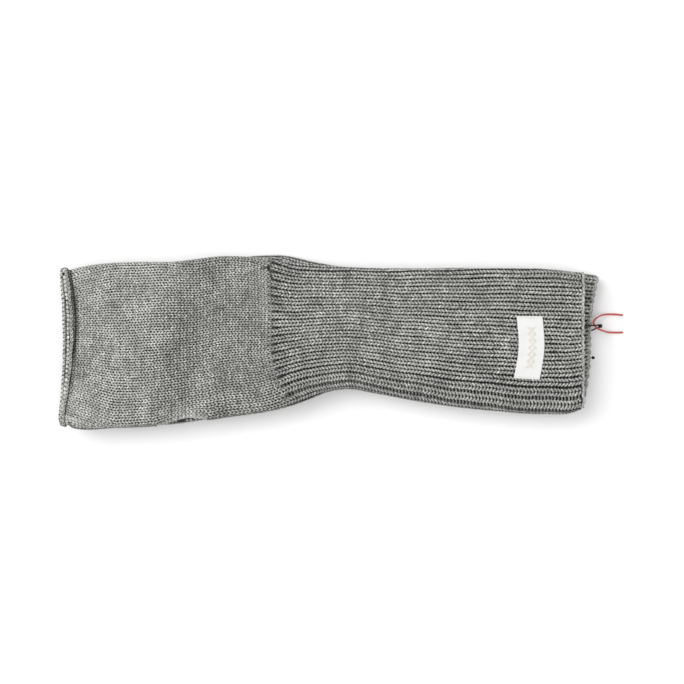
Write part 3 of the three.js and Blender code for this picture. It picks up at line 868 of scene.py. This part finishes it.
# ---- label: a thin sheet on the ribs, sewn along both short ends ----
LABEL_MIDDLE = (136.6, -4.2)
LABEL_SIZE = (18.0, 43.8)
LABEL_THICK = 0.34
LABEL_GRID = (37, 89)
LABEL_HALF = LABEL_SIZE[1] / 2
LABEL_BOW, LABEL_BOW_EASE = 2.4, 1.6  # its middle lies nearer to the cuff
LABEL_LEAN = 0.045  # and its far end a little more so than its near end
LABEL_CORNER = 0.06  # its near end runs aslant
LABEL_REST = 2.08  # above the wall's outside, on the ribs
LABEL_WAVES = [(0.16, 3.1, 0.15, 0.0), (0.22, 7.0, 0.0, 1.0)]  # height, mm for a radian, slant, phase


def label_point(u, w, up):
    """A point of the label: u along X and w along Y from its middle in mm, up from its underside."""
    bow = LABEL_BOW * (1 - np.abs(w / LABEL_HALF) ** LABEL_BOW_EASE)
    x = LABEL_MIDDLE[0] + u + bow + LABEL_LEAN * w
    y = LABEL_MIDDLE[1] + w - LABEL_CORNER * u * (w < 0) * (w / -LABEL_HALF)
    share = (y - upper.near(x)) / (upper.far(x) - upper.near(x))
    z = upper.middle(x) + ROOM / 2 + RIB_WALL / 2 + LABEL_REST + upper.relief(x, y, share) + up
    for height, length, slant, phase in LABEL_WAVES:
        z = z + height * np.sin(w / length + slant * u + phase)
    return np.stack(np.broadcast_arrays(x, y, z), -1)


def grid_slab(name, point, size, thick, grid):
    """A closed thin slab over a grid, with its shape given by point(u, w, up)."""
    nu, nv = grid
    width, length = size
    u, w = np.meshgrid(np.linspace(-width / 2, width / 2, nu), np.linspace(-length / 2, length / 2, nv))
    top, bottom = point(u, w, thick).reshape(-1, 3), point(u, w, 0.0).reshape(-1, 3)
    index = np.arange(nu * nv).reshape(nv, nu)
    a, b, c, d = index[:-1, :-1], index[:-1, 1:], index[1:, 1:], index[1:, :-1]
    over = np.stack([a, b, c, d], -1).reshape(-1, 4)
    under = over[:, ::-1] + nu * nv
    rim = np.concatenate([index[0], index[1:, -1], index[-1, -2::-1], index[-2:0:-1, 0]])
    follow = np.roll(rim, -1)
    walls = np.stack([rim + nu * nv, follow + nu * nv, follow, rim], -1)
    faces = np.concatenate([over, under, walls])
    mesh = build_mesh(name, np.concatenate([top, bottom]), faces.ravel(), np.full(len(faces), 4))
    smooth = np.ones(len(faces), bool)
    smooth[-len(walls):] = False
    mesh.polygons.foreach_set("use_smooth", smooth)
    return mesh


label_mesh = grid_slab("label_cloth", label_point, LABEL_SIZE, LABEL_THICK, LABEL_GRID)
label = add_object("label_cloth", label_mesh, "upper_glove", satin)
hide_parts("label")

# ---- the label's stitches and its motif: two rows of running stitches, and a chain of lozenges ----
UP = np.array([0.0, 0.0, 1.0])
STITCH_LENGTH = 1.9
STITCH_COLUMNS = np.arange(-7.6, 8.0, 2.5)
STITCH_INSET = 1.2
STITCH_WAVER, STITCH_WAVER_PACE = 0.12, 5
STITCH_TOP, STITCH_SINK = 0.10, 0.30  # above the label, and how far both ends go down
STITCH_RADIUS = 0.17
STITCH_STEPS, MOTIF_STEPS = 9, 180
THREAD_SIDES = 6
MOTIF_HALF = 14.2
MOTIF_PITCH = 9.5
MOTIF_MIDDLE = 0.4
MOTIF_CHAINS = ((2.9, 0.06), (1.5, 0.04))  # half width, height above the label
MOTIF_RADIUS = 0.32


def threads(name, lines, radius, body, look):
    """Thin tubes along several lines of equally many points."""
    lines = np.array(lines)
    mesh = tubes(name, lines, np.broadcast_to(UP, lines.shape), radius, THREAD_SIDES)
    return add_object(name, mesh, body, look)


for word, w in (("far", LABEL_HALF - STITCH_INSET), ("near", STITCH_INSET - LABEL_HALF)):
    lines = []
    for u in STITCH_COLUMNS:
        t = np.linspace(-1, 1, STITCH_STEPS)
        height = LABEL_THICK + STITCH_TOP - STITCH_SINK * t ** 4
        waver = STITCH_WAVER * np.sin(u * STITCH_WAVER_PACE)
        lines.append(label_point(u + t * STITCH_LENGTH / 2, w + waver, height))
    rows = threads(f"label_stitches_{word}_thread", lines, STITCH_RADIUS, "upper_glove", label_thread)
    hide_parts(f"label_stitches_{word}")

motif = []
for side in (1, -1):
    w = np.linspace(-MOTIF_HALF, MOTIF_HALF, MOTIF_STEPS)
    zigzag = 2 / math.pi * np.arcsin(np.sin(TAU * w / MOTIF_PITCH + math.pi / 2))
    for half_width, height in MOTIF_CHAINS:
        motif.append(label_point(MOTIF_MIDDLE + side * half_width * zigzag, w, LABEL_THICK + height))
motif_piece = threads("label_motif", motif, MOTIF_RADIUS, "upper_glove", gold_thread)

# ---- safety pin: the outer leg, the coil and the inner leg; its clasp is the CAD's own ----
COIL = (188.9, 11.2, 10.0)
COIL_RADIUS = 1.1
COIL_START = 0.575  # its first point's distance along Y
COIL_STEP = 0.2875  # along -Y for each quarter turn
COIL_POINTS = 7
PIN_RADIUS = 0.52
PIN_POINT, PIN_TAPER = 0.25, 24  # the point's share of the radius, and steps to grow by a whole one
PIN_STEPS = 260
OUTER_LEG = [(165.2, 10.2, 12.0), (171, 10.5, 12.3), (177.9, 10.9, 12.4), (181.5, 11.1, 12.4),
             (185.6, 11.4, 12.0)]
INNER_LEG = [(186.2, 9.2, 7.7), (182.6, 7.6, 6.3), (176, 6.9, 5.8), (168.5, 6.8, 5.8), (166.4, 7.4, 5.8),
             (165.6, 8.6, 5.8), (166.4, 9.8, 5.8), (168.5, 10.4, 5.8), (172.5, 10.7, 6.2), (176, 10.8, 7.3)]
coil = []
for i in range(COIL_POINTS):
    a = math.pi / 2 * (1 - i)
    coil.append((COIL[0] + COIL_RADIUS * math.cos(a), COIL[1] + COIL_START - COIL_STEP * i,
                 COIL[2] + COIL_RADIUS * math.sin(a)))
pin_line = through(OUTER_LEG + coil + INNER_LEG, PIN_STEPS)
pin_normals = np.broadcast_to([0.1, 1.0, 0.15], pin_line.shape)
pin_radius = PIN_RADIUS * np.minimum(1, PIN_POINT + np.arange(PIN_STEPS) / PIN_TAPER)
pin_mesh = tubes("safety_pin_wire", pin_line[None], pin_normals[None], pin_radius[None], sides=12)
pin = add_object("safety_pin_wire", pin_mesh, "lower_glove", lacquer)
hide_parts("safety_pin")
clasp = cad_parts["safety_pin_clasp"]
clasp.data.materials.clear()
clasp.data.materials.append(lacquer)

# ---- thread knot: a trefoil with a short tail that goes into the knit ----
KNOT = (184.0, -11.5, 9.9)
KNOT_WAVE = 0.62  # half its width along X
KNOT_RING = 0.2108  # a third of its half width across
KNOT_TAIL = [(184.2, -11.5, 9.9), (183.2, -11.5, 9.9), (181.8, -11.4, 9.6), (180.4, -11.2, 9.0)]
KNOT_RADII = np.array([[0.50], [0.17]])  # knot, tail
KNOT_STEPS = 150
a = np.linspace(0, TAU, KNOT_STEPS)
ball = np.stack([KNOT[0] + KNOT_WAVE * np.sin(3 * a),
                 KNOT[1] + KNOT_RING * (2 + np.cos(3 * a)) * np.cos(2 * a),
                 KNOT[2] + KNOT_RING * (2 + np.cos(3 * a)) * np.sin(2 * a)], -1)
tail = through(KNOT_TAIL, KNOT_STEPS)
knot_lines = np.array([ball, tail])
knot_normals = np.broadcast_to([0.3, 0.2, 1.0], knot_lines.shape)
knot_mesh = tubes("thread_knot_black", knot_lines, knot_normals, KNOT_RADII, sides=8)
knot = add_object("thread_knot_black", knot_mesh, "lower_glove", black_thread)
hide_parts("thread_knot")

# ---- tag cord: three twisted plies along the route, which is in metres, as in the CAD ----
CORD_ROUTE = [
    (0.2064, 0.0187, 0.0007), (0.2015, 0.0192, 0.0007), (0.1965, 0.0193, 0.0010), (0.1920, 0.0189, 0.0034),
    (0.1880, 0.0174, 0.0070), (0.1853, 0.0154, 0.0092), (0.1842, 0.0133, 0.0098), (0.1852, 0.0112, 0.0098),
    (0.1870, 0.0093, 0.0103), (0.1897, 0.0081, 0.0096), (0.1923, 0.0073, 0.0069), (0.1946, 0.0068, 0.0036),
    (0.1974, 0.0065, 0.0011), (0.2020, 0.0064, 0.0007), (0.2064, 0.0065, 0.0007),
]
CORD_STEPS = 220
PLIES, PLY_PITCH, PLY_RADIUS, PLY_OFFSET = 3, 4.2, 0.35, 0.32
cord_line = through(np.array(CORD_ROUTE) / MM, CORD_STEPS)
cord_run = run_along(cord_line)
cord_along = unit(np.gradient(cord_line, axis=0))
cord_side = unit(np.cross(cord_along, UP))
cord_up = np.cross(cord_side, cord_along)
plies = []
for i in range(PLIES):
    a = TAU * (cord_run / PLY_PITCH + i / PLIES)
    plies.append(cord_line + PLY_OFFSET * (np.cos(a)[:, None] * cord_side + np.sin(a)[:, None] * cord_up))
plies = np.array(plies)
cord_mesh = tubes("tag_cord_twisted", plies, np.broadcast_to(cord_up, plies.shape), PLY_RADIUS, sides=8)
tag_cord = add_object("tag_cord_twisted", cord_mesh, "tag_cord_body", coral)
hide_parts("tag_cord")

# ---- floor and light, in metres ----
FLOOR_HALF = 3
FLOOR_LEVEL = -0.0003  # just below the lowest yarn
WORLD_LIGHT = 0.52

floor_look, _, _ = material("floor_white", (0.92, 0.92, 0.92), roughness=0.8)
floor_mesh = bpy.data.meshes.new("floor")
corners = [(x * FLOOR_HALF, y * FLOOR_HALF, 0) for x, y in ((-1, -1), (1, -1), (1, 1), (-1, 1))]
floor_mesh.from_pydata(corners, [], [(0, 1, 2, 3)])
floor_mesh.materials.append(floor_look)
floor = bpy.data.objects.new("floor", floor_mesh)
floor.location.z = FLOOR_LEVEL
scene.collection.objects.link(floor)


def area_light(name, place, size, energy):
    data = bpy.data.lights.new(name, "AREA")
    data.size, data.energy = size, energy
    obj = bpy.data.objects.new(name, data)
    obj.location = place
    obj.rotation_euler = (-Vector(place)).to_track_quat("-Z", "Y").to_euler()
    scene.collection.objects.link(obj)
    return obj


lights = [
    area_light("key", place=(-2.0, 1.15, 2.5), size=3.0, energy=92),
    area_light("top", place=(0.5, -0.5, 3.2), size=2.4, energy=38),
]
world = bpy.data.worlds.new("studio")
world.use_nodes = True
background = world.node_tree.nodes["Background"]
background.inputs["Color"].default_value = (1, 1, 1, 1)
background.inputs["Strength"].default_value = WORLD_LIGHT
scene.world = world
